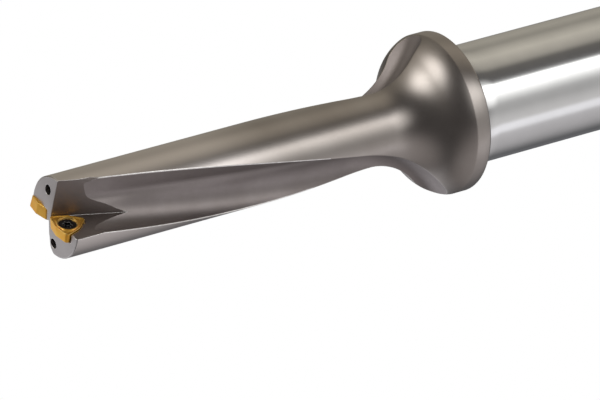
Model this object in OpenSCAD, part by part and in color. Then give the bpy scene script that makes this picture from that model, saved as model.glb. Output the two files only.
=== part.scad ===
// Indexable drill for shallow holes: a steel body with two helical chip flutes,
// a collar, a plain round shank, and two screwed-on trigon inserts.
// It stands on the end of its shank, so the axis is +Z and the cutting end is up.
// The central insert points along +X with its rake face towards +Y.
// Millimetres and degrees.

/* [Cutting end] */
// diameter of the hole it drills
cut_d = 18; // [17.6:0.1:18.6]
// diameter of the body behind the inserts
body_d = 17; // [16.6:0.1:17.4]
// from the collar's seating face to the foremost cutting edge
reach = 96.5; // [88:0.5:110]
// how far the peripheral insert sits behind the central one
outer_drop = 0.65; // [0.3:0.05:1]
// how far the middle of the end sits behind the foremost cutting edge
end_setback = 1.05; // [1:0.05:1.3]
// slope of the conical end
end_slope = 5; // [3:0.5:6]

/* [Flutes] */
// turn of the flutes for each millimetre along the axis
twist = 1.2; // [1.05:0.05:1.35]
// opening of a flute, seen from the axis
flute_open = 81; // [76:1:84]
// half the thickness of the core at the ridge along the root of a flute
core_r = 3.65; // [3.5:0.05:4]
// bow of the scooped floor of a flute, on the side of the cutting edge
floor_bow = 1.4; // [1.2:0.05:1.6]
// radius on which the flutes lift out of the body
lift_r = 24; // [20:0.5:28]
// from the collar's seating face to the end of the flutes
flute_end = 4; // [3.8:0.1:5]

/* [Collar] */
// diameter of the collar
collar_d = 34; // [32:0.5:37]
// width of the collar's cylindrical rim
rim_w = 3.5; // [2.5:0.1:3.8]
// slope at which the shoulder leaves the rim
rim_slope = 18; // [12:1:24]
// radius of the collar's rounded shoulder
shoulder_r = 9.5; // [8:0.5:12]
// radius of the hollow between the shoulder and the body
hollow_r = 12.5; // [10:0.5:16]

/* [Shank] */
// diameter of the shank
shank_d = 25; // [24:0.5:27]
// length of the shank
shank_len = 56; // [50:1:65]
// chamfer at the end of the shank
shank_chamfer = 1.2; // [0.6:0.1:2]

/* [Coolant] */
// diameter of the inlet bore in the shank
inlet_d = 8; // [6:0.5:10]
// diameter of each coolant hole
coolant_d = 2.2; // [1.8:0.1:2.4]

/* [Inserts] */
// circle that touches the edges of an insert
insert_ic = 5.56; // [5.4:0.02:5.7]
// thickness of an insert
insert_t = 2.38; // [2.2:0.02:2.6]
// nose radius at the sharp corners
nose_r = 0.8; // [0.5:0.05:1]
// relief angle of the flanks
relief = 7; // [5:0.5:9]
// gap between an insert and the walls of its pocket
pocket_gap = 0.1; // [0.06:0.01:0.16]
// how far the rake faces stand above the floors beside them
proud = 0.3; // [0.2:0.02:0.4]
// depth of the chip groove behind the edges
groove_depth = 0.14; // [0.08:0.01:0.2]

/* [Screws] */
// thread diameter of an insert screw
screw_d = 2.2; // [2:0.05:2.3]
// length of an insert screw from the top of its head
screw_len = 4.5; // [4.1:0.1:4.8]
// diameter of the screw head
head_d = 3.9; // [3.6:0.05:4]
// how far the head sits below the rake face
head_sink = 0.3; // [0.2:0.02:0.4]
// width of the star socket over its points
socket_d = 2; // [1.7:0.05:2.2]
// depth of the star socket
socket_depth = 0.9; // [0.6:0.05:1]

/* [Hidden] */
steel = [0.45, 0.42, 0.40];
gold = [0.85, 0.62, 0.20];
black = [0.12, 0.12, 0.13];
$fn = 96;
eps = 0.01;

// levels along the axis
seat_z = shank_len;
tip_z = seat_z + reach;
// the section of the flutes lies unturned at this level
ref_z = tip_z - 1.5;
body_top = tip_z - end_setback;
body_r = body_d / 2;
collar_r = collar_d / 2;
shank_r = shank_d / 2;

// the insert seen on its rake face: three sharp and three blunt corners
sharp_r = insert_ic / 2 / sin(40);
blunt_r = insert_ic / 2 / sin(80);
nose_at = sharp_r - nose_r / sin(40);
insert_half = nose_at * cos(30) + nose_r;
bottom_scale = 1 - insert_t * tan(relief) / (insert_ic / 2);

// height of the screw head's cone
head_h = (head_d - screw_d) / 2 / tan(30);

// seats of the inserts: turn about the axis, height of the rake face above the
// plane through the axis, distance outwards and level of the insert's middle
central_turn = 0;
central_height = proud;
central_out = insert_half - 0.42;
central_z = tip_z - blunt_r;
outer_turn = 185;
outer_height = 1.6;
outer_out = sqrt(cut_d * cut_d / 4 - outer_height * outer_height) - insert_half;
outer_z = tip_z - outer_drop - blunt_r;

// wall of a gullet in front of the rake faces: it leans outwards away from the tip,
// and its heel lies a little further in than its foot
gullet_lean = 17.7;
wall_tilt = 1.7;
heel_r = 3;
gullet_len = 20;
central_wall = -0.53;
outer_wall = outer_out - insert_half - 0.6;

// the shoulder leaves the rim at its slope, and meets the hollow where both slope alike
flare_slope = acos((shoulder_r * cos(rim_slope) + hollow_r - collar_r + body_r)
                   / (shoulder_r + hollow_r));
rim_z = seat_z + rim_w;
shoulder_z = rim_z - shoulder_r * sin(rim_slope);
shoulder_in = collar_r - shoulder_r * cos(rim_slope);
flare_z = shoulder_z + (shoulder_r + hollow_r) * sin(flare_slope);

// direction of the first flute's middle at the reference level
flute_mid = 49.5;
// level where the flutes start to lift, so that their root leaves the collar at their end
lift_z = seat_z + flute_end + sqrt(pow(lift_r, 2) - pow(lift_r - collar_r + core_r, 2));
lift_turn = acos(1 - (collar_r - core_r + 1) / lift_r);
far_h = collar_d * 0.8;
ring_step = 2.6;
sweep_len = tip_z + 3 - lift_z;
sweep_rings = ceil(sweep_len / ring_step);
lift_rings = 15;

// points of a bowed line from p to q, without its last point
function bow(p, q, sag, n) =
    let(d = q - p,
        c = norm(d),
        r = (c * c / 4 + sag * sag) / (2 * sag),
        along = d / c,
        out = [along[1], -along[0]],
        middle = (p + q) / 2 + out * (sag - r),
        half = asin(c / 2 / r))
    [for (i = [0 : n - 1])
        let(t = half * (2 * i / n - 1))
        middle + r * (cos(t) * out + sin(t) * along)];

// section of a flute: across from its middle, and outwards from the axis;
// a scooped floor, a ridge along the root, and a wall that ends in a small hollow
lip = (body_r + 0.3) * [sin(flute_open / 2), cos(flute_open / 2)];
root = [0.35, core_r + 0.05];
wall_foot = [1.3, core_r - 0.05];
wall_knee = [2.9, core_r + 0.74];
flute_section = concat(
    [[-lip[0] - 6, far_h]],
    bow([-lip[0], lip[1]], root, floor_bow, 9),
    bow(root, wall_foot, 0.03, 2),
    bow(wall_foot, wall_knee, 0.16, 4),
    bow(wall_knee, lip, 0.05, 4),
    [lip, [lip[0] + 6, far_h]]);

// one ring of the flute at level z, lifted away from the axis
function flute_ring(z, lift) =
    let(a = flute_mid + twist * (z - ref_z))
    [for (p = flute_section)
        let(w = p[0], h = p[1] + lift)
        [h * cos(a) - w * sin(a), h * sin(a) + w * cos(a), z]];

module flute() {
    sweep = [for (i = [0 : sweep_rings])
        flute_ring(tip_z + 3 - sweep_len * i / sweep_rings, 0)];
    run_out = [for (i = [1 : lift_rings])
        let(t = lift_turn * i / lift_rings)
        flute_ring(lift_z - lift_r * sin(t), lift_r * (1 - cos(t)))];
    rings = concat(sweep, run_out);
    n = len(flute_section);
    count = len(rings);
    sides = [for (k = [0 : count - 2]) for (i = [0 : n - 1])
        let(j = (i + 1) % n)
        for (f = [[k * n + i, k * n + n + j, k * n + j],
                  [k * n + i, k * n + n + i, k * n + n + j]]) f];
    polyhedron(
        points = [for (r = rings) for (p = r) p],
        faces = concat(
            [[for (i = [0 : n - 1]) i]],
            sides,
            [[for (i = [n - 1 : -1 : 0]) (count - 1) * n + i]]),
        convexity = 8);
}

// half section of the turned blank, from the end of the shank to the tip
function turned_outline() = concat(
    [[0, 0],
     [shank_r - shank_chamfer, 0],
     [shank_r, shank_chamfer],
     [shank_r, seat_z],
     [collar_r - 0.5, seat_z],
     [collar_r, seat_z + 0.5]],
    [for (i = [0 : 9])
        let(t = rim_slope + (flare_slope - rim_slope) * i / 10)
        [shoulder_in + shoulder_r * cos(t), shoulder_z + shoulder_r * sin(t)]],
    [for (i = [0 : 12])
        let(t = flare_slope * (1 - i / 12))
        [body_r + hollow_r * (1 - cos(t)), flare_z - hollow_r * sin(t)]],
    [[body_r, body_top - body_r * tan(end_slope) - 0.2],
     [body_r - 0.2, body_top - (body_r - 0.2) * tan(end_slope)],
     [1, body_top - tan(end_slope)],
     [0, body_top - tan(end_slope)]]);

// space in front of a rake face: a leaning wall on a level floor; the wall rolls back
// into a round heel from a height above the floor
module gullet(turn, floor_height, wall, heel) {
    rotate([0, 0, turn])
        translate([wall, floor_height, ref_z + 0.2])
            rotate([0, -gullet_lean, 0])
                translate([0, 0, -gullet_len])
                    linear_extrude(gullet_len + 8)
                        polygon(concat(
                            [[0, 0], [20, 0], [20, 25], [-20, 25]],
                            [for (t = [45 : -9 : 0])
                                [-heel * tan(wall_tilt) - heel_r * (1 - cos(t)),
                                 heel + heel_r * sin(t)]]));
}

// places what is drawn with the rake face up and the tip towards +Y
module seat(turn, height, out, z) {
    rotate([0, 0, turn])
        translate([out, height, z])
            rotate([90, 0, 180])
                children();
}

module central_seat() {
    seat(central_turn, central_height, central_out, central_z) children();
}

module outer_seat() {
    seat(outer_turn, outer_height, outer_out, outer_z) children();
}

// outline of an insert, grown by g
module trigon(g) {
    grow = 1 + g / (insert_ic / 2);
    polygon([for (k = [0 : 2])
        let(d = 30 + 120 * k)
        for (i = [0 : 9])
            i < 9
            ? (nose_at * [cos(d), sin(d)]
               + nose_r * [cos(d - 50 + 12.5 * i), sin(d - 50 + 12.5 * i)]) * grow
            : blunt_r * grow * [cos(d + 60), sin(d + 60)]]);
}

// pocket with the tapped hole for the screw below it
module pocket() {
    translate([0, 0, -insert_t])
        linear_extrude(insert_t + 1.2)
            trigon(pocket_gap);
    translate([0, 0, -head_sink - screw_len - 0.3])
        cylinder(d = screw_d + 0.04, h = screw_len);
}

// clears the side of a pocket that faces the wall of the hole
module outer_opening() {
    translate([-20, -blunt_r / 2, -insert_t])
        cube([20, 20, insert_t + 1.2]);
}

module insert() {
    difference() {
        translate([0, 0, -insert_t])
            rotate([180, 0, 0])
                mirror([0, 1, 0])
                    translate([0, 0, -insert_t])
                        linear_extrude(insert_t, scale = bottom_scale)
                            trigon(0);
        // chip groove between the edges and the boss around the hole
        translate([0, 0, -groove_depth])
            linear_extrude(1)
                difference() {
                    trigon(-0.5);
                    circle(d = head_d + 0.6);
                }
        translate([0, 0, -insert_t - 1])
            cylinder(d = screw_d + 0.4, h = insert_t + 2);
        head_space();
    }
}

// the countersink is the head's own cone, carried up to the rake face
module head_space() {
    translate([0, 0, -head_sink - head_h])
        cylinder(d1 = screw_d, d2 = head_d, h = head_h);
    translate([0, 0, -head_sink - eps])
        cylinder(d = head_d + 0.1, h = 1);
}

module insert_screw() {
    translate([0, 0, -head_sink])
        difference() {
            union() {
                translate([0, 0, -head_h])
                    cylinder(d1 = screw_d, d2 = head_d, h = head_h);
                translate([0, 0, -screw_len + 0.3])
                    cylinder(d = screw_d, h = screw_len - head_h - 0.3 + eps);
                translate([0, 0, -screw_len])
                    cylinder(d1 = screw_d - 0.6, d2 = screw_d, h = 0.3 + eps);
            }
            translate([0, 0, -socket_depth])
                linear_extrude(2)
                    star();
        }
}

// six rounded points around a round middle
module star() {
    circle(d = socket_d * 0.74, $fn = 48);
    for (k = [0 : 5])
        rotate(60 * k)
            translate([socket_d * 0.36, 0])
                circle(d = socket_d * 0.28, $fn = 24);
}

// straight coolant hole from the inlet bore to the end face of a lobe
coolant_low_z = seat_z + 8;

module coolant_hole(exit_turn, exit_r, low_turn, low_r) {
    low = [low_r * cos(low_turn), low_r * sin(low_turn), coolant_low_z];
    high = [exit_r * cos(exit_turn), exit_r * sin(exit_turn), ref_z];
    run = high - low;
    translate(low)
        rotate([0, acos(run[2] / norm(run)), atan2(run[1], run[0])])
            cylinder(d = coolant_d, h = norm(run) * 1.05, $fn = 48);
}

// the turned blank with its two flutes
module fluted_blank() {
    difference() {
        rotate_extrude()
            polygon(turned_outline());
        flute();
        rotate([0, 0, 180])
            flute();
    }
}

// the lobes cut to shape in front of the inserts
module gashed_blank() {
    difference() {
        fluted_blank();
        gullet(central_turn, 0, central_wall, 12);
        gullet(outer_turn, outer_height - proud, outer_wall, 4.3);
    }
}

module coolant_way() {
    translate([0, 0, -1])
        cylinder(d = inlet_d, h = coolant_low_z + 3);
    translate([0, 0, coolant_low_z + 2 - eps])
        cylinder(d1 = inlet_d, d2 = 0, h = inlet_d * 0.3);
    translate([0, 0, -eps])
        cylinder(d1 = inlet_d + 2, d2 = inlet_d, h = 1);
    coolant_hole(-82, 5.85, -45, 0.9);
    coolant_hole(124, 5.73, 52, 2.1);
}

module drill_body() {
    color(steel)
        difference() {
            gashed_blank();
            central_seat()
                pocket();
            outer_seat() {
                pocket();
                outer_opening();
            }
            coolant_way();
        }
}

module central_insert() {
    color(gold) central_seat() insert();
}

module peripheral_insert() {
    color(gold) outer_seat() insert();
}

module central_insert_screw() {
    color(black) central_seat() insert_screw();
}

module peripheral_insert_screw() {
    color(black) outer_seat() insert_screw();
}

drill_body();
central_insert();
peripheral_insert();
central_insert_screw();
peripheral_insert_screw();
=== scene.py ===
# %% [markdown]
# # An indexable drill, from blank to tip
# The lesson dresses a drill whose solids come from CAD. The drill stands on the end of its
# shank, so its axis is Z. Millimetres are used while a piece is being built, because its sizes
# are the drawing's, and the finished mesh is brought to metres at the end.

import math

import bmesh
import bpy
import numpy as np
from mathutils import Matrix, Vector


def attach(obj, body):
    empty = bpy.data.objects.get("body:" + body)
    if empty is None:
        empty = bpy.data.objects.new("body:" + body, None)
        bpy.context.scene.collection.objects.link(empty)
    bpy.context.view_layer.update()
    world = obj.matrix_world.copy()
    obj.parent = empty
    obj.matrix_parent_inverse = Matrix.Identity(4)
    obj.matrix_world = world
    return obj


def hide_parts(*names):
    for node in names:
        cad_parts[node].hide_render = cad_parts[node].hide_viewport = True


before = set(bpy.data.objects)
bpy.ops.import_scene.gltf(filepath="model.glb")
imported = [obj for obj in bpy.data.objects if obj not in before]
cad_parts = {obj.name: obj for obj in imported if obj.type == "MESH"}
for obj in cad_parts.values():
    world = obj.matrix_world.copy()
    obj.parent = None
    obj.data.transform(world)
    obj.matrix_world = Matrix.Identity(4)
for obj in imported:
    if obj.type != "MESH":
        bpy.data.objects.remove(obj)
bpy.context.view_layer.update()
MM = 0.001
print("nodes:", sorted(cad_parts))

# %% [markdown]
# ## The camera
# A long lens far away keeps the drill's sides nearly parallel, as in a catalogue picture. The
# camera looks at the tip from 30.5 degrees above, and it is rolled until the axis of the drill
# runs across the frame. Its three directions are worked out from those angles.

# %% Camera
ROLL, LOOK, TURN = map(math.radians, (15.6, 30.5, 41.0))
# millimetres from the collar, and pixels a millimetre there
DISTANCE, SCALE = 1300.0, 4.84
FRAME_W, FRAME_H, SENSOR = 600, 400, 36
# where the middle of the collar's seat lies in the frame, in pixels
COLLAR_X, COLLAR_Y = 444.5, 110.6
collar_in_frame = Vector(((COLLAR_X - FRAME_W / 2) / SCALE,
                          (FRAME_H / 2 - COLLAR_Y) / SCALE, 0))
along = Vector((math.cos(ROLL), math.sin(ROLL), 0))
to_tip = -along * math.cos(LOOK) + Vector((0, 0, 1)) * math.sin(LOOK)
up_side = Vector((-math.sin(ROLL), math.cos(ROLL), 0))
near_side = up_side.cross(to_tip)
x_axis = near_side * math.cos(TURN) - up_side * math.sin(TURN)
y_axis = near_side * math.sin(TURN) + up_side * math.cos(TURN)
part_from_view = Matrix((x_axis, y_axis, to_tip))
SEAT = 56.0
place = part_from_view @ (Vector((0, 0, DISTANCE)) - collar_in_frame) + Vector((0, 0, SEAT))

camera = bpy.data.objects.new("Camera", bpy.data.cameras.new("Camera"))
bpy.context.collection.objects.link(camera)
camera.matrix_world = Matrix.Translation(place * MM) @ part_from_view.to_4x4()
camera.data.sensor_width = SENSOR
camera.data.lens = SENSOR * SCALE * DISTANCE / FRAME_W
camera.data.clip_end = 100
bpy.context.scene.camera = camera
bpy.context.scene.view_settings.view_transform = "Standard"
print("camera at", [round(c, 3) for c in camera.location], "lens", round(camera.data.lens, 1))

# %% [markdown]
# ## Floor and light
# Polished metal has little colour of its own: it shows the room. The room here is a studio with
# soft boxes: a large one high beside the drill, a narrow strip low in front of it, and dim broad
# ones that fill the rest. Low down there are also upright panels, whose edges draw the long
# streaks on the shank. All of them lie in the world. The floor is plain and pale, and the metal
# doesn't mirror it, so that it mirrors the boxes.


# %% Helpers for node trees
def ramp(node, stops):
    """Sets the stops of a colour ramp, each a place from 0 to 1 and a colour."""
    band = node.color_ramp
    while len(band.elements) > 1:
        band.elements.remove(band.elements[-1])
    band.elements[0].position = stops[0][0]
    band.elements[0].color = stops[0][1]
    for at, colour in stops[1:]:
        band.elements.new(at).color = colour


def grey(v, tint=(1, 1, 1)):
    """A grey of brightness v with a slight tint."""
    return (v * tint[0], v * tint[1], v * tint[2], 1)


# %% World of panels
world = bpy.data.worlds.new("Panels")
bpy.context.scene.world = world
world.use_nodes = True
wt = world.node_tree
wt.nodes.clear()
coords = wt.nodes.new("ShaderNodeTexCoord")
split = wt.nodes.new("ShaderNodeSeparateXYZ")
angle = wt.nodes.new("ShaderNodeMath")
angle.operation = "ARCTAN2"
turn = wt.nodes.new("ShaderNodeMath")
turn.operation = "SUBTRACT"
turn.inputs[1].default_value = TURN
wrap = wt.nodes.new("ShaderNodeMath")
wrap.operation = "WRAP"
wrap.inputs[1].default_value = math.pi
wrap.inputs[2].default_value = -math.pi
part = wt.nodes.new("ShaderNodeMapRange")
part.inputs["From Min"].default_value = -math.pi
part.inputs["From Max"].default_value = math.pi
panels = wt.nodes.new("ShaderNodeValToRGB")
SKY, PLAIN, SUN = (0.97, 0.98, 1.03), (1, 1, 0.99), (1, 0.93, 0.79)
# brightness and tint of the low panels by their angle from the camera, in degrees
PANELS = [(-180, 0.18, SKY), (-125, 0.12, SKY), (-90, 0.16, SKY), (-78, 0.22, SKY),
          (-70, 0.66, SKY), (-60, 0.72, SKY), (-54, 0.36, PLAIN), (-42, 0.38, PLAIN),
          (-30, 0.38, PLAIN), (-6, 0.56, PLAIN), (4, 0.9, PLAIN), (9, 1.8, PLAIN),
          (22, 1.8, PLAIN), (25, 0.04, PLAIN), (48, 0.08, SUN), (58, 0.36, SUN),
          (67, 0.46, SUN), (82, 0.60, SUN), (95, 0.50, SUN), (113, 0.33, SUN),
          (133, 0.42, SUN), (156, 0.36, SUN), (179, 0.18, SKY)]
ramp(panels, [((a + 180) / 360, grey(v, tint)) for a, v, tint in PANELS])
wt.links.new(coords.outputs["Generated"], split.inputs[0])
wt.links.new(split.outputs["Y"], angle.inputs[0])
wt.links.new(split.outputs["X"], angle.inputs[1])
wt.links.new(angle.outputs[0], turn.inputs[0])
wt.links.new(turn.outputs[0], wrap.inputs[0])
wt.links.new(wrap.outputs[0], part.inputs["Value"])
wt.links.new(part.outputs[0], panels.inputs["Fac"])
# the panels are full well below the horizon and fade out towards it
FULL_BELOW = -0.45
fade = wt.nodes.new("ShaderNodeMapRange")
fade.interpolation_type = "SMOOTHSTEP"
fade.inputs["From Min"].default_value = 0.0
fade.inputs["From Max"].default_value = FULL_BELOW
wt.links.new(split.outputs["Z"], fade.inputs["Value"])
low_light = wt.nodes.new("ShaderNodeVectorMath")
low_light.operation = "SCALE"
wt.links.new(panels.outputs["Color"], low_light.inputs[0])
wt.links.new(fade.outputs[0], low_light.inputs["Scale"])
print(len(PANELS), "panel edges round the horizon")

# %% [markdown]
# ### Soft boxes
# A soft box is a lamp behind white cloth, and satin metal shows it as a round glow. Area lights
# could stand in for it, but they need many samples to come out smooth. Here each box is a
# direction in the world: the closer a ray points to it, the more of its light the ray gets.


# %% Soft boxes
def soft_box(total, azimuth, height, inner, outer, strength, tint):
    """Adds a round soft box to the light so far: full to the inner angle, gone at the outer."""
    az, el = math.radians(azimuth) + TURN, math.radians(height)
    dot = wt.nodes.new("ShaderNodeVectorMath")
    dot.operation = "DOT_PRODUCT"
    dot.inputs[1].default_value = (math.cos(el) * math.cos(az), math.cos(el) * math.sin(az),
                                   math.sin(el))
    edge = wt.nodes.new("ShaderNodeMapRange")
    edge.interpolation_type = "SMOOTHSTEP"
    edge.inputs["From Min"].default_value = math.cos(math.radians(outer))
    edge.inputs["From Max"].default_value = math.cos(math.radians(inner))
    add = wt.nodes.new("ShaderNodeVectorMath")
    add.operation = "MULTIPLY_ADD"
    add.inputs[1].default_value = [strength * c for c in tint]
    wt.links.new(coords.outputs["Generated"], dot.inputs[0])
    wt.links.new(dot.outputs["Value"], edge.inputs["Value"])
    wt.links.new(edge.outputs[0], add.inputs[0])
    wt.links.new(total, add.inputs[2])
    return add.outputs[0]


ROSE = (1, 0.96, 0.97)
# angle from the camera, height, inner and outer radius, strength, tint
BOXES = [(78, 42, 4, 25, 2.9, PLAIN), (108, 35, 10, 55, 0.4, SUN), (8, -14, 3, 30, 1.0, PLAIN),
         (-82, -8, 12, 62, 0.40, ROSE), (196, 20, 10, 46, 0.85, SKY), (0, 30, 60, 180, 0.09, ROSE)]
light = low_light.outputs[0]
for box in BOXES:
    light = soft_box(light, *box)
room = wt.nodes.new("ShaderNodeBackground")
wt.links.new(light, room.inputs["Color"])
plain = wt.nodes.new("ShaderNodeBackground")
plain.inputs["Color"].default_value = (1, 1, 1, 1)
path = wt.nodes.new("ShaderNodeLightPath")
choose = wt.nodes.new("ShaderNodeMixShader")
wt.links.new(path.outputs["Is Camera Ray"], choose.inputs[0])
wt.links.new(room.outputs[0], choose.inputs[1])
wt.links.new(plain.outputs[0], choose.inputs[2])
wt.links.new(choose.outputs[0], wt.nodes.new("ShaderNodeOutputWorld").inputs["Surface"])
print(len(BOXES), "soft boxes")

# %% [markdown]
# ### The floor
# A catalogue picture stands on a pale sweep. A plain white surface could serve, but it turns grey
# where little light falls. So the camera sees the floor as white, while light still bounces off
# it as off a matt card.

# %% Floor
FLOOR_SIZE = 30
bpy.ops.mesh.primitive_plane_add(size=FLOOR_SIZE)
floor = bpy.context.object
floor.name = "floor"
pale = bpy.data.materials.new("pale_floor")
pale.use_nodes = True
ft = pale.node_tree
ft.nodes.clear()
matt = ft.nodes.new("ShaderNodeBsdfDiffuse")
matt.inputs["Color"].default_value = (0.8, 0.8, 0.8, 1)
glow = ft.nodes.new("ShaderNodeEmission")
glow.inputs["Color"].default_value = (1, 1, 1, 1)
seen = ft.nodes.new("ShaderNodeLightPath")
both = ft.nodes.new("ShaderNodeMixShader")
ft.links.new(seen.outputs["Is Camera Ray"], both.inputs[0])
ft.links.new(matt.outputs[0], both.inputs[1])
ft.links.new(glow.outputs[0], both.inputs[2])
ft.links.new(both.outputs[0], ft.nodes.new("ShaderNodeOutputMaterial").inputs["Surface"])
floor.data.materials.append(pale)
floor.visible_glossy = False
print("floor of", FLOOR_SIZE, "m")

# %% [markdown]
# ## Metals
# Each metal is a fully metallic surface with its own tint. Two noises make it believable: a
# broad one that shifts the tone a little over the piece, and a fine one that breaks up the
# gloss. Ground steel gets fine rings round the axis, so its noise is stretched. A Bevel node
# feels for edges, and the metal there is lighter: partly handling wear, partly a painted
# highlight. Towards the tip the lands get lighter too, as painted light. Painted images
# could show all this, but nodes need no picture and follow the shape when it changes.


# %% Metal maker
EDGE_REACH = 0.2 * MM
# where the painted light on the lands begins and where it is full, towards the tip
TIP_LIGHT_FROM, TIP_LIGHT_TO = SEAT + 44, SEAT + 64


def metal(name, low, high, rough, grain, patch=120, bump=0.02, stretch=(1, 1, 1), edge=None,
          tip=None):
    """Metal between two tones, of a roughness range, with a grain of that many marks a metre."""
    m = bpy.data.materials.new(name)
    m.use_nodes = True
    t = m.node_tree
    shader = t.nodes["Principled BSDF"]
    shader.inputs["Metallic"].default_value = 1
    where = t.nodes.new("ShaderNodeTexCoord")
    pull = t.nodes.new("ShaderNodeMapping")
    pull.inputs["Scale"].default_value = stretch
    t.links.new(where.outputs["Object"], pull.inputs["Vector"])
    broad = t.nodes.new("ShaderNodeTexNoise")
    broad.inputs["Scale"].default_value = patch
    broad.inputs["Detail"].default_value = 4
    t.links.new(where.outputs["Object"], broad.inputs["Vector"])
    tone = t.nodes.new("ShaderNodeValToRGB")
    ramp(tone, [(0.3, (*low, 1)), (0.7, (*high, 1))])
    t.links.new(broad.outputs[0], tone.inputs["Fac"])
    paint = tone.outputs["Color"]
    if tip:
        # painted light: towards the tip the metal gets lighter along the axis
        level = t.nodes.new("ShaderNodeSeparateXYZ")
        t.links.new(where.outputs["Object"], level.inputs[0])
        share = t.nodes.new("ShaderNodeMapRange")
        share.interpolation_type = "SMOOTHSTEP"
        share.inputs["From Min"].default_value = TIP_LIGHT_FROM * MM
        share.inputs["From Max"].default_value = TIP_LIGHT_TO * MM
        t.links.new(level.outputs["Z"], share.inputs["Value"])
        blend = t.nodes.new("ShaderNodeMixRGB")
        blend.inputs["Color2"].default_value = (*tip, 1)
        t.links.new(share.outputs[0], blend.inputs["Fac"])
        t.links.new(paint, blend.inputs["Color1"])
        paint = blend.outputs["Color"]
    rise = t.nodes.new("ShaderNodeBump")
    if edge:
        # near an edge the bevel's normal leaves the surface's own; lighter metal there is wear and
        # painted highlight
        bend = t.nodes.new("ShaderNodeBevel")
        bend.samples = 6
        bend.inputs["Radius"].default_value = EDGE_REACH
        t.links.new(bend.outputs[0], rise.inputs["Normal"])
        own = t.nodes.new("ShaderNodeNewGeometry")
        same = t.nodes.new("ShaderNodeVectorMath")
        same.operation = "DOT_PRODUCT"
        t.links.new(bend.outputs[0], same.inputs[0])
        t.links.new(own.outputs["Normal"], same.inputs[1])
        wear_and_glint = t.nodes.new("ShaderNodeMapRange")
        wear_and_glint.inputs["From Min"].default_value = 0.985
        wear_and_glint.inputs["From Max"].default_value = 0.93
        t.links.new(same.outputs["Value"], wear_and_glint.inputs["Value"])
        mix = t.nodes.new("ShaderNodeMixRGB")
        mix.inputs["Color2"].default_value = (*edge, 1)
        t.links.new(wear_and_glint.outputs[0], mix.inputs["Fac"])
        t.links.new(paint, mix.inputs["Color1"])
        paint = mix.outputs["Color"]
    t.links.new(paint, shader.inputs["Base Color"])
    fine = t.nodes.new("ShaderNodeTexNoise")
    fine.inputs["Scale"].default_value = grain
    fine.inputs["Detail"].default_value = 3
    t.links.new(pull.outputs[0], fine.inputs["Vector"])
    gloss = t.nodes.new("ShaderNodeMapRange")
    gloss.inputs["To Min"].default_value = rough[0]
    gloss.inputs["To Max"].default_value = rough[1]
    t.links.new(fine.outputs[0], gloss.inputs["Value"])
    t.links.new(gloss.outputs[0], shader.inputs["Roughness"])
    rise.inputs["Strength"].default_value = bump
    rise.inputs["Distance"].default_value = 0.0001
    t.links.new(fine.outputs[0], rise.inputs["Height"])
    t.links.new(rise.outputs[0], shader.inputs["Normal"])
    return m


# %% The metals
# edges get this lighter tone: partly wear, partly a painted highlight
WORN_AND_GLINT = (0.96, 0.94, 0.92)
# the body's lands take painted light towards the tip
bronze = metal("satin_bronze_steel", (0.36, 0.325, 0.30), (0.41, 0.375, 0.35), (0.29, 0.39), 2500,
               edge=WORN_AND_GLINT, tip=(0.62, 0.575, 0.55))
# the flutes: rougher milled steel, with a deeper tone that is painted shade in the recess
flute_and_shade = metal("flute_steel_and_shade", (0.29, 0.258, 0.25), (0.345, 0.308, 0.30), (0.44, 0.54), 1500)
# the rounded edge strips: deburred steel, their light tone partly a painted highlight
deburred_and_glint = metal("deburred_edge_and_glint", (0.70, 0.68, 0.66), (0.95, 0.93, 0.91), (0.25, 0.5), 3000,
               patch=900)
ground = metal("ground_steel", (0.66, 0.66, 0.655), (0.72, 0.72, 0.715), (0.10, 0.16), 300,
               bump=0.04, stretch=(1, 1, 30))
milled = metal("milled_steel", (0.40, 0.37, 0.355), (0.46, 0.43, 0.415), (0.34, 0.44), 1500,
               edge=WORN_AND_GLINT)
# the gullets: rougher milled steel, with a deeper tone that is painted shade in the recess
gash_and_shade = metal("gash_steel", (0.25, 0.217, 0.203), (0.30, 0.264, 0.25), (0.46, 0.56), 1500, edge=WORN_AND_GLINT)
# the bore and the tapped holes: near-black painted shade
hole_shade = metal("bore_painted_shade", (0.05, 0.048, 0.046), (0.08, 0.076, 0.072), (0.45, 0.6), 1500)
# the gold's lighter edge tone is wear and a painted highlight
gold = metal("gold_coating", (0.97, 0.50, 0.07), (1.0, 0.61, 0.12), (0.43, 0.54), 4000, patch=500,
             edge=(1, 0.74, 0.28))
# the black oxide's lighter edge tone is wear and a painted highlight
black = metal("black_oxide", (0.05, 0.05, 0.052), (0.085, 0.085, 0.088), (0.22, 0.34), 4000,
              edge=(0.3, 0.3, 0.3))
print("metals:", bronze.name, ground.name, flute_and_shade.name, gash_and_shade.name, gold.name, black.name)

# %% [markdown]
# ## The body's sizes
# The scene repeats the drawing's sizes, so that the fine mesh lies where the solid lies.

# %% Sizes
TIP = SEAT + 96.5
REF = TIP - 1.5
BODY_R, COLLAR_R, SHANK_R = 8.5, 17.0, 12.5
END_TOP, END_SLOPE = TIP - 1.05, math.tan(math.radians(5))
TWIST, MIDDLE, CORE = 1.2, 49.5, 3.65
LIFT_R = 24.0
LIFT_Z = SEAT + 4 + math.sqrt(LIFT_R ** 2 - (LIFT_R - COLLAR_R + CORE) ** 2)
RIM_Z, RIM_SLOPE, SHOULDER_R, HOLLOW_R = SEAT + 3.5, math.radians(18), 9.5, 12.5
SHOULDER_IN = COLLAR_R - SHOULDER_R * math.cos(RIM_SLOPE)
SHOULDER_Z = RIM_Z - SHOULDER_R * math.sin(RIM_SLOPE)
SLOPE = math.acos((SHOULDER_R * math.cos(RIM_SLOPE) + HOLLOW_R - COLLAR_R + BODY_R)
                  / (SHOULDER_R + HOLLOW_R))
FLARE_Z = SHOULDER_Z + (SHOULDER_R + HOLLOW_R) * math.sin(SLOPE)
BEND_Z = SHOULDER_Z + SHOULDER_R * math.sin(SLOPE)
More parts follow.
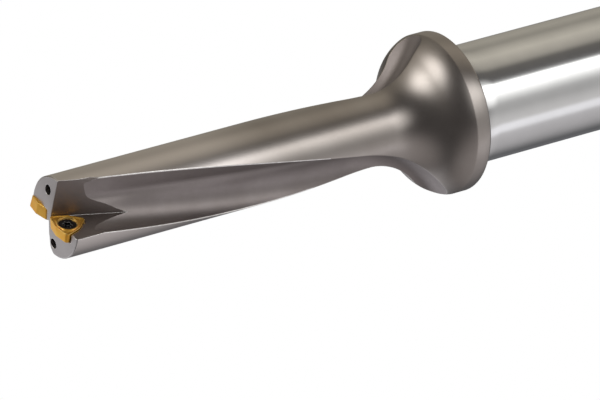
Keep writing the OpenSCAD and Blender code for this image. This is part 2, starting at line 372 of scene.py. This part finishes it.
IC_R, INSERT_T, NOSE_R, HEAD_R, HEAD_SINK = 2.78, 2.38, 0.8, 1.95, 0.3
SHARP_R, BLUNT_R = IC_R / math.sin(math.radians(40)), IC_R / math.sin(math.radians(80))
NOSE_AT = SHARP_R - NOSE_R / math.sin(math.radians(40))
HALF = NOSE_AT * math.cos(math.radians(30)) + NOSE_R
SCREW_R, SCREW_LEN = 1.1, 4.5
PROUD, PAST_AXIS, CUT_R = 0.3, 0.42, 9.0
OUTER_TURN, OUTER_HEIGHT, OUTER_DROP = 185, 1.6, 0.65
CENTRAL = dict(turn=0, height=PROUD, out=HALF - PAST_AXIS, z=TIP - BLUNT_R)
OUTER = dict(turn=OUTER_TURN, height=OUTER_HEIGHT, z=TIP - OUTER_DROP - BLUNT_R,
             out=math.sqrt(CUT_R ** 2 - OUTER_HEIGHT ** 2) - HALF)


def radius(z):
    """Radius of the turned body at level z, above the rim."""
    if z < BEND_Z:
        return SHOULDER_IN + math.sqrt(SHOULDER_R ** 2 - (z - SHOULDER_Z) ** 2)
    if z < FLARE_Z:
        return BODY_R + HOLLOW_R - math.sqrt(HOLLOW_R ** 2 - (FLARE_Z - z) ** 2)
    return BODY_R


def bow(p, q, sag, n):
    """Points of an arc from p to q that bulges by sag, without its last point."""
    p, q = np.array(p), np.array(q)
    d = q - p
    c = np.linalg.norm(d)
    r = (c * c / 4 + sag * sag) / (2 * sag)
    way = d / c
    out = np.array([way[1], -way[0]])
    mid = (p + q) / 2 + out * (sag - r)
    t = math.asin(c / 2 / r) * (2 * np.arange(n) / n - 1)
    return mid + r * (np.cos(t)[:, None] * out + np.sin(t)[:, None] * way)


print("flare from", round(RIM_Z, 2), "to", round(FLARE_Z, 2))

# %% [markdown]
# ## A section of a flute
# The flute's floor is scooped, a faint ridge runs along its root, and its wall is nearly flat.
# A cutter leaves the work on an arc, so near the collar the whole section lifts away from the
# axis on a circle, and the flute ends where its root meets the collar's surface.

# %% Flute section
LIP_ANGLE = math.radians(40.5)
LIP = (BODY_R + 0.3) * np.array([math.sin(LIP_ANGLE), math.cos(LIP_ANGLE)])
ROOT, FOOT, KNEE = (0.35, CORE + 0.05), (1.3, CORE - 0.05), (2.9, CORE + 0.74)
FAR = 27.2
section = np.vstack([
    bow((-LIP[0], LIP[1]), ROOT, 1.4, 60),
    bow(ROOT, FOOT, 0.03, 10), bow(FOOT, KNEE, 0.16, 20), bow(KNEE, LIP, 0.05, 30), [LIP]])
# the arcs are smoothed into one another
for _ in range(60):
    section[1:-1] += 0.5 * ((section[:-2] + section[2:]) / 2 - section[1:-1])
section = np.vstack([[(-LIP[0] - 6, FAR)], section, [(LIP[0] + 6, FAR)]])


def flute_curve(z):
    """The flute's section at level z."""
    lift = LIFT_R - math.sqrt(LIFT_R ** 2 - max(0, LIFT_Z - z) ** 2)
    return section + (0, lift)


def walk(points, r):
    """Follows the points outwards until they cross the circle r, which ends the line."""
    line = [points[0]]
    for a, b in zip(points[:-1], points[1:]):
        if np.hypot(*b) >= r:
            d = b - a
            k, m, n = d @ d, a @ d, a @ a - r * r
            line.append(a + d * (-m + math.sqrt(max(0, m * m - k * n))) / k)
            return np.array(line)
        line.append(b)
    return np.array(line)


def spaced(line, n, cut):
    """n + 1 points evenly along the line, which stops short of its end by cut."""
    step = np.hypot(*np.diff(line, axis=0).T)
    run = np.concatenate([[0], np.cumsum(step)])
    at = np.linspace(0, run[-1] - cut, n + 1)
    return np.stack([np.interp(at, run, line[:, 0]), np.interp(at, run, line[:, 1])], 1)


def depth(z):
    """How far the flute reaches below the body's surface at level z."""
    return radius(z) - np.hypot(*flute_curve(z).T).min()


low, high = RIM_Z, SEAT + 8.0
for _ in range(40):
    middle = (low + high) / 2
    low, high = (middle, high) if depth(middle) < 0 else (low, middle)
FLUTE_END = high
print("flutes end", round(FLUTE_END - SEAT, 2), "mm above the seat")

# %% [markdown]
# ## The body as one lofted skin
# Every level of the body is one ring: flute, rounded edge, lobe, rounded edge, and the same
# again half a turn on. A twisted prism and a Boolean could cut the flutes too, but their edges
# would be knife-sharp. Here the rounded edges are real strips of faces, a fifth of a millimetre
# wide, and they catch the light as a deburred edge does.

# %% Rings of the body
N_LEFT, N_RIGHT, N_ARC, EDGE = 30, 40, 56, 0.2


def ring(z):
    """One ring of the body at level z: half a ring and its copy half a turn on."""
    r = radius(z)
    curve = flute_curve(z)
    deep = int(np.hypot(*curve.T).argmin())
    left_line, right_line = walk(curve[deep::-1], r), walk(curve[deep:], r)
    width = np.hypot(*(left_line[-1] - right_line[-1]))
    soft = min(EDGE, width / 12)
    left, right = spaced(left_line, N_LEFT, soft)[::-1], spaced(right_line, N_RIGHT, soft)
    corner_l, corner_r = left_line[-1], right_line[-1]
    a_r = math.atan2(corner_r[0], corner_r[1])
    a_l = math.atan2(corner_l[0], corner_l[1]) + math.pi
    arc = np.linspace(a_r + soft / r, a_l - soft / r, N_ARC + 1)
    lobe = r * np.stack([np.sin(arc), np.cos(arc)], 1)

    def rounded(p, c, q):
        return [p * (1 - t) ** 2 + 2 * c * t * (1 - t) + q * t * t for t in (0.25, 0.5, 0.75)]

    half = np.vstack([left, right[1:], rounded(right[-1], corner_r, lobe[0]), lobe,
                      rounded(lobe[-1], -corner_l, -left[0])])
    t = math.radians(MIDDLE + TWIST * (z - REF))
    flat = np.vstack([half, -half])
    return np.stack([flat[:, 1] * math.cos(t) - flat[:, 0] * math.sin(t),
                     flat[:, 1] * math.sin(t) + flat[:, 0] * math.cos(t),
                     np.full(len(flat), z)], 1)


levels = [FLUTE_END + 1e-5 + 5 * (i / 22) ** 2 for i in range(23)]
levels += list(np.arange(levels[-1] + 0.4, FLARE_Z + 3, 0.4))
levels += list(np.linspace(levels[-1] + 0.6, TIP + 0.6, 92))
rings = [ring(z) for z in levels]
N = len(rings[0])
# where a flute runs out, its points in the first ring meet in one, so the skin closes there
lobe_from = N_LEFT + N_RIGHT + 1 + 3
for start in (0, N // 2):
    meet = rings[0][start + N_LEFT + N_RIGHT].copy()
    for k in range(start - 3, start + lobe_from):
        rings[0][k % N] = meet
print(len(rings), "rings of", N, "points")

# %% [markdown]
# ### Below the flutes
# The collar and the shank are turned on a lathe, so the rings there are circles. A Screw modifier
# on a profile would spin them too, but its points would not meet those of the fluted rings. So
# the lowest fluted ring is scaled to each radius, and the two stacks share their points.

# %% Rings below the flutes
turned = [(SHANK_R - 1.2, 0), (SHANK_R - 1.12, 0.02), (SHANK_R - 0.03, 1.12), (SHANK_R, 1.25)]
turned += [(SHANK_R, z) for z in np.linspace(2, SEAT - 0.6, 12)]
turned += [(SHANK_R - 0.15, SEAT - 0.35), (SHANK_R - 0.15, SEAT - 0.02), (SHANK_R, SEAT)]
turned += [(COLLAR_R - 0.5, SEAT), (COLLAR_R - 0.42, SEAT + 0.03), (COLLAR_R - 0.03, SEAT + 0.42),
           (COLLAR_R, SEAT + 0.52), (COLLAR_R, SEAT + 1.8), (COLLAR_R, RIM_Z - 0.12),
           (COLLAR_R - 0.01, RIM_Z - 0.02)]
turned += [(radius(z), z) for z in np.linspace(RIM_Z + 0.1, FLUTE_END - 0.02, 4)]
keep = [N_LEFT + N_RIGHT] + list(range(lobe_from, lobe_from + N_ARC + 1))
keep += [k + N // 2 for k in keep]
top_ring = rings[0][keep]
lower = [np.column_stack([top_ring[:, :2] * (r / radius(FLUTE_END)), np.full(len(keep), z)])
         for r, z in turned] + [top_ring]
print(len(lower), "turned rings")


# %% Skin over rings
def skin(bm, stack, close_low, close_high, slots=None):
    """Faces between rings of equal length, with a cap on the ends that ask for one."""
    rows = [[bm.verts.new(p) for p in one] for one in stack]
    n = len(rows[0])
    for a, b in zip(rows[:-1], rows[1:]):
        for i in range(n):
            j = (i + 1) % n
            bm.faces.new((a[i], a[j], b[j], b[i])).material_index = slots[i] if slots else 0
    if close_low:
        bm.faces.new(rows[0][::-1])
    if close_high:
        bm.faces.new(rows[-1])
    return rows


# %% Blank
# the edge strips take the lighter deburred tone above this level, partly a painted highlight
BRIGHT_FROM = SEAT + 34
bm = bmesh.new()
skin(bm, lower, True, False)
flute_slots = [2] * (N_LEFT + N_RIGHT) + [3] * 4 + [0] * N_ARC + [3] * 4
skin(bm, rings, False, True, flute_slots * 2)
for f in bm.faces:
    if f.material_index == 3 and f.calc_center_median().z < BRIGHT_FROM:
        f.material_index = 0
bmesh.ops.remove_doubles(bm, verts=bm.verts, dist=1e-4)
bmesh.ops.dissolve_degenerate(bm, edges=bm.edges, dist=1e-5)
for f in bm.faces:
    f.smooth = True
    if f.calc_center_median().z < SEAT - 0.001:
        f.material_index = 1
bmesh.ops.recalc_face_normals(bm, faces=bm.faces)
open_edges = sum(1 for e in bm.edges if len(e.link_faces) != 2)
blank_mesh = bpy.data.meshes.new("drill_body_fine")
bm.to_mesh(blank_mesh)
bm.free()
for m in (bronze, ground, flute_and_shade, deburred_and_glint, milled, gash_and_shade, hole_shade):
    blank_mesh.materials.append(m)
blank = bpy.data.objects.new("drill_body_fine", blank_mesh)
bpy.context.collection.objects.link(blank)
print("blank:", len(blank_mesh.polygons), "faces,", open_edges, "open edges")

# %% [markdown]
# ## Cutting the tip
# The tip is cut as in the workshop: the cone of the end, a gullet in front of each rake face,
# the insert pockets with their tapped holes, the coolant holes and the bore. Each cutter carries
# a material, so a cut face knows what made it, and edges between different cuts are kept sharp.
# The wall of the first gullet rolls back sooner at its low end, where the cutter leaves it.


# %% Cutters
def solid(name, rows, material):
    """A closed cutter from rings of points."""
    b = bmesh.new()
    skin(b, rows, True, True)
    bmesh.ops.recalc_face_normals(b, faces=b.faces)
    me = bpy.data.meshes.new(name)
    b.to_mesh(me)
    b.free()
    me.materials.append(material)
    o = bpy.data.objects.new(name, me)
    bpy.context.collection.objects.link(o)
    return o


def spun(name, profile, material, n=96, matrix=None):
    """A closed turned cutter from (radius, z) points."""
    t = np.linspace(0, 2 * math.pi, n, endpoint=False)
    rows = [np.stack([r * np.cos(t), r * np.sin(t), np.full(n, z)], 1) for r, z in profile]
    o = solid(name, rows, material)
    if matrix:
        o.data.transform(matrix)
    return o


def prism(name, outline, low, high, material, matrix):
    """A closed cutter of one outline, between two heights."""
    rows = [[(x, y, z) for x, y in outline] for z in (low, high)]
    o = solid(name, rows, material)
    o.data.transform(matrix)
    return o


def turned_to(turn, axis="Z"):
    return Matrix.Rotation(math.radians(turn), 4, axis)


def seat(turn, height, out, z):
    """From a rake face that looks up, with the tip towards +Y, to its place on the drill."""
    return (turned_to(turn) @ Matrix.Translation((out, height, z))
            @ turned_to(180) @ turned_to(90, "X"))


def trigon(grow, noses=9):
    """Outline of an insert, grown by a distance at its edges."""
    k = 1 + grow / IC_R
    points = []
    for side in range(3):
        d = 30 + 120 * side
        for i in range(noses):
            t = math.radians(d - 50 + 100 * i / (noses - 1))
            m = math.radians(d)
            points.append((k * (NOSE_AT * math.cos(m) + NOSE_R * math.cos(t)),
                           k * (NOSE_AT * math.sin(m) + NOSE_R * math.sin(t))))
        b = math.radians(d + 60)
        points.append((k * BLUNT_R * math.cos(b), k * BLUNT_R * math.sin(b)))
    return points


# %% Cutters for the gullets and the coolant
WALL_LEAN, WALL_TILT, WALL_ROUND = 17.7, 1.7, 3
COOLANT_R, COOLANT_LOW, OVERRUN = 1.1, SEAT + 8, 1.05


def gullet(name, turn, floor_y, wall, heel, low_heel):
    """Room for chips in front of a rake face. Its wall rolls back sooner at the low end."""
    place = (turned_to(turn) @ Matrix.Translation((wall, floor_y, REF + 0.2))
             @ turned_to(-WALL_LEAN, "Y"))

    def outline(heel):
        back = -heel * math.tan(math.radians(WALL_TILT))
        roll = [(back - WALL_ROUND * (1 - math.cos(t)), heel + WALL_ROUND * math.sin(t))
                for t in np.radians(np.linspace(45, 0, 13))]
        return [(0, 0), (20, 0), (20, 25), (-20, 25)] + roll

    stages = [(-20, low_heel), (-7, low_heel), (-5, (2 * low_heel + heel) / 3),
              (-1, heel), (8, heel)]
    o = solid(name, [[(x, y, z) for x, y in outline(h)] for z, h in stages], gash_and_shade)
    o.data.transform(place)
    return o


def coolant(name, exit_turn, exit_r, low_turn, low_r):
    """A straight hole from the inlet bore to its exit on the end face."""
    low = Vector((low_r * math.cos(math.radians(low_turn)),
                  low_r * math.sin(math.radians(low_turn)), COOLANT_LOW))
    high = Vector((exit_r * math.cos(math.radians(exit_turn)),
                   exit_r * math.sin(math.radians(exit_turn)), REF))
    run = high - low
    aim = run.to_track_quat("Z", "Y").to_matrix().to_4x4()
    return spun(name, [(COOLANT_R, 0), (COOLANT_R, run.length * OVERRUN)], milled, 40,
                Matrix.Translation(low) @ aim)


# %% All cutters
END_R = BODY_R - 0.2
end_low = END_TOP - END_R * END_SLOPE
cone = [(1, END_TOP - END_SLOPE), (END_R, end_low), (BODY_R + 1, end_low - 1.2),
        (BODY_R + 1, TIP + 5), (1, TIP + 5)]
cutters = [spun("end_cut", cone, milled, 160)]
cutters += [gullet("gullet_a", 0, 0, -0.53, 9.0, 6.6),
            gullet("gullet_b", OUTER_TURN, 1.3, OUTER["out"] - HALF - 0.6, 4.3, 4.3)]
POCKET_GAP, POCKET_TOP, TAP_GAP = 0.1, 1.2, 0.02
for label, s in (("a", CENTRAL), ("b", OUTER)):
    cutters.append(prism("pocket_" + label, trigon(POCKET_GAP), -INSERT_T, POCKET_TOP, milled,
                         seat(**s)))
    cutters.append(spun("tapped_" + label, [(SCREW_R + TAP_GAP, -HEAD_SINK - SCREW_LEN - 0.3),
                                            (SCREW_R + TAP_GAP, -INSERT_T + 0.1)],
                        hole_shade, 40, seat(**s)))
# the opening's floor and top lie a hair off the pocket's, so that no two cuts share a plane
HAIR = 0.002
sill = -BLUNT_R / 2
cutters.append(prism("opening", [(-20, sill), (0, sill), (0, 20), (-20, 20)],
                     -INSERT_T + HAIR, POCKET_TOP + HAIR, milled, seat(**OUTER)))
cutters.append(coolant("coolant_a", -82, 5.85, -45, 0.9))
cutters.append(coolant("coolant_b", 124, 5.73, 52, 2.1))
# the bore's faces take the painted shade
bore = [(6, -1), (5, 0), (4, 1), (4, SEAT + 10), (0.05, SEAT + 12.4)]
cutters.append(spun("bore", bore, hole_shade, 64))
print(len(cutters), "cutters")

# %% [markdown]
# ### Taking the cuts
# A milling machine takes one cut after another, and so does this loop, with a Boolean modifier
# for each cutter. All cutters could sit in one collection and cut at once, but then a cut that
# fails is hard to find. The exact solver keeps thin edges clean.

# %% Apply the cuts
for cutter in cutters:
    mod = blank.modifiers.new("cut", "BOOLEAN")
    mod.operation = "DIFFERENCE"
    mod.solver = "EXACT"
    mod.material_mode = "TRANSFER"
    mod.object = cutter
    seen_by = bpy.context.evaluated_depsgraph_get()
    result = bpy.data.meshes.new_from_object(blank.evaluated_get(seen_by))
    blank.modifiers.clear()
    old = blank.data
    blank.data = result
    bpy.data.meshes.remove(old)
    bpy.data.objects.remove(cutter)
print("after the cuts:", len(blank.data.polygons), "faces")

# %% [markdown]
# ### From millimetres to the frame
# The body's surfaces should flow, and its edges should stay crisp. An angle alone could tell
# where the sharp edges are, but some cuts meet at a shallow angle, so a change of material counts
# as an edge too. The finished piece then takes the place of its solid.


# %% Finish the body's mesh
def settle(obj, name, node, angle=40):
    """Metres, sharp edges where cuts meet, and the piece's place in the frame."""
    me = obj.data
    me.transform(Matrix.Scale(MM, 4))
    me.polygons.foreach_set("use_smooth", [True] * len(me.polygons))
    me.set_sharp_from_angle(angle=math.radians(angle))
    b = bmesh.new()
    b.from_mesh(me)
    for e in b.edges:
        materials = {f.material_index for f in e.link_faces}
        if len(e.link_faces) == 2 and len(materials) == 2:
            e.smooth = False
    b.to_mesh(me)
    b.free()
    obj.name = name
    me.name = name
    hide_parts(node)
    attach(obj, "root")
    print(name, len(me.polygons), "faces")


settle(blank, "drill_body_fine", "drill_body")

# %% [markdown]
# ## The inserts
# A trigon insert is a stack of rings too. From below: the flank with its relief, the cutting
# edge with a slight hone, a flat land, the chip groove, a boss, and the countersunk hole. The
# rings pass from the trigon's outline to a circle on the way in. Booleans on a prism could cut
# the groove and the hole as well, but in rings every small edge has its own place.


# %% Inserts
def insert_rows():
    """Rings of an insert, from the hole's lower end over the flank and back into the hole."""
    corners = np.array(trigon(0, 15))
    # the straight edges get points too, so that the rings further in come out round
    outline = []
    for a, b in zip(corners, np.roll(corners, -1, axis=0)):
        n = max(1, round(np.hypot(*(b - a)) / 0.2))
        outline += [a + (b - a) * i / n for i in range(n)]
    outline = np.array(outline)
    bearing = np.arctan2(outline[:, 1], outline[:, 0])
    circle = np.stack([np.cos(bearing), np.sin(bearing)], 1)
    low = 1 - INSERT_T * math.tan(math.radians(7)) / IC_R
    hole = SCREW_R + 0.2
    cone_h = (HEAD_R - SCREW_R) / math.tan(math.radians(30))
    # share of the outline, radius of the circle, height, and how far the ring is a circle
    steps = [(0, hole, -INSERT_T, 1), (low - 0.03, 0, -INSERT_T, 0), (low, 0, -INSERT_T + 0.06, 0),
             (0.9995, 0, -0.05, 0), (0.999, 0, -0.02, 0), (0.99, 0, 0, 0), (0.905, 0, 0, 0),
             (0.885, 0, -0.03, 0), (0.84, 0, -0.13, 0), (0.79, 0, -0.16, 0.02),
             (0.76, 2.38, -0.12, 0.35), (0.74, 2.3, -0.03, 0.8), (0.7, 2.22, 0, 1),
             (0, 2.04, 0, 1), (0, 2.0, -0.05, 1), (0, HEAD_R + 0.05, -HEAD_SINK, 1),
             (0, HEAD_R, -HEAD_SINK - 0.01, 1), (0, hole + 0.02, -HEAD_SINK - 0.83 * cone_h, 1),
             (0, hole, -HEAD_SINK - 0.86 * cone_h, 1), (0, hole, -INSERT_T, 1)]
    return [np.column_stack([outline * k * (1 - m) + circle * r * m, np.full(len(outline), h)])
            for k, r, h, m in steps]


def insert_piece(name, node, where):
    b = bmesh.new()
    skin(b, insert_rows(), False, False)
    bmesh.ops.remove_doubles(b, verts=b.verts, dist=1e-5)
    bmesh.ops.recalc_face_normals(b, faces=b.faces)
    b.transform(where)
    me = bpy.data.meshes.new(name)
    b.to_mesh(me)
    b.free()
    me.materials.append(gold)
    o = bpy.data.objects.new(name, me)
    bpy.context.collection.objects.link(o)
    settle(o, name, node, 28)


insert_piece("central_insert_fine", "central_insert", seat(**CENTRAL))
insert_piece("peripheral_insert_fine", "peripheral_insert", seat(**OUTER))

# %% [markdown]
# ## The screws
# The head is countersunk, with a rounded rim and a star socket. The star is a circle whose
# radius swells six times round. The thread follows a rule, so Geometry Nodes makes it: a spiral
# curve with a small profile swept along it. A Screw modifier would do, too, but the tree keeps
# the number of turns and the size of the ridge as inputs.

# %% Thread tree
tree = bpy.data.node_groups.new("screw_thread", "GeometryNodeTree")
for label, value in (("Turns", 4.0), ("Length", 1.6), ("Radius", 0.97), ("Ridge", 0.13)):
    s = tree.interface.new_socket(label, in_out="INPUT", socket_type="NodeSocketFloat")
    s.default_value = value
metal_in = tree.interface.new_socket("Metal", in_out="INPUT", socket_type="NodeSocketMaterial")
tree.interface.new_socket("Geometry", in_out="OUTPUT", socket_type="NodeSocketGeometry")
given = tree.nodes.new("NodeGroupInput")
spiral = tree.nodes.new("GeometryNodeCurveSpiral")
spiral.inputs["Resolution"].default_value = 36
profile = tree.nodes.new("GeometryNodeCurvePrimitiveCircle")
profile.inputs["Resolution"].default_value = 4
swept = tree.nodes.new("GeometryNodeCurveToMesh")
swept.inputs["Fill Caps"].default_value = True
real = tree.nodes.new("GeometryNodeRealizeInstances")
paint = tree.nodes.new("GeometryNodeSetMaterial")
made = tree.nodes.new("NodeGroupOutput")
tree.links.new(given.outputs["Turns"], spiral.inputs["Rotations"])
tree.links.new(given.outputs["Length"], spiral.inputs["Height"])
tree.links.new(given.outputs["Radius"], spiral.inputs["Start Radius"])
tree.links.new(given.outputs["Radius"], spiral.inputs["End Radius"])
tree.links.new(given.outputs["Ridge"], profile.inputs["Radius"])
tree.links.new(spiral.outputs["Curve"], swept.inputs["Curve"])
tree.links.new(profile.outputs["Curve"], swept.inputs["Profile Curve"])
tree.links.new(swept.outputs["Mesh"], real.inputs["Geometry"])
tree.links.new(real.outputs["Geometry"], paint.inputs["Geometry"])
tree.links.new(given.outputs["Metal"], paint.inputs["Material"])
tree.links.new(paint.outputs["Geometry"], made.inputs["Geometry"])
print(tree.name, "has", len(tree.nodes), "nodes")


# %% Thread mesh
def thread_mesh():
    """The tree's result as a mesh."""
    holder = bpy.data.objects.new("thread", bpy.data.meshes.new("thread"))
    bpy.context.collection.objects.link(holder)
    mod = holder.modifiers.new("thread", "NODES")
    mod.node_group = tree
    mod[metal_in.identifier] = black
    seen_by = bpy.context.evaluated_depsgraph_get()
    me = bpy.data.meshes.new_from_object(holder.evaluated_get(seen_by))
    bpy.data.objects.remove(holder)
    return me


# %% [markdown]
# ### Head, shaft and thread together
# A screw is turned, so its rings run from the shaft's end up over the head and down into the
# socket, where they pass from a circle to the star. The thread is added to the same mesh: it
# could be a piece of its own, but then the screw would no longer be one piece as the real one is.


# %% Screws
def screw_piece(name, node, where):
    """A countersunk screw with its thread, put in its place."""
    n = 72
    t = np.linspace(0, 2 * math.pi, n, endpoint=False)
    star = (1 + 0.16 * np.cos(6 * t)) / 1.16
    cone_h = (HEAD_R - SCREW_R) / math.tan(math.radians(30))
    top = -HEAD_SINK

    def turn(r, z, starry=0.0):
        rr = r * (1 - starry + starry * star)
        return np.stack([rr * np.cos(t), rr * np.sin(t), np.full(n, z)], 1)

    end = top - SCREW_LEN
    core = SCREW_R - 0.14
    rows = [turn(0.3, end), turn(core - 0.25, end), turn(core, end + 0.3), turn(core, end + 2.2),
            turn(SCREW_R, end + 2.4), turn(SCREW_R, top - cone_h), turn(HEAD_R - 0.05, top - 0.12),
            turn(HEAD_R - 0.015, top - 0.06), turn(HEAD_R - 0.06, top - 0.005),
            turn(HEAD_R - 0.14, top), turn(1.28, top), turn(1.2, top - 0.01),
            turn(1.08, top - 0.05, 0.9), turn(1.0, top - 0.1, 1), turn(0.95, top - 0.75, 1),
            turn(0.4, top - 0.88, 0.3)]
    b = bmesh.new()
    skin(b, rows, True, True)
    thread = thread_mesh()
    b2 = bmesh.new()
    b2.from_mesh(thread)
    b2.transform(Matrix.Translation((0, 0, end + 0.45)))
    b2.to_mesh(thread)
    b2.free()
    b.from_mesh(thread)
    bpy.data.meshes.remove(thread)
    bmesh.ops.recalc_face_normals(b, faces=b.faces)
    b.transform(where)
    me = bpy.data.meshes.new(name)
    b.to_mesh(me)
    b.free()
    me.materials.append(black)
    o = bpy.data.objects.new(name, me)
    bpy.context.collection.objects.link(o)
    settle(o, name, node, 35)


screw_piece("central_insert_screw_fine", "central_insert_screw", seat(**CENTRAL))
screw_piece("peripheral_insert_screw_fine", "peripheral_insert_screw", seat(**OUTER))
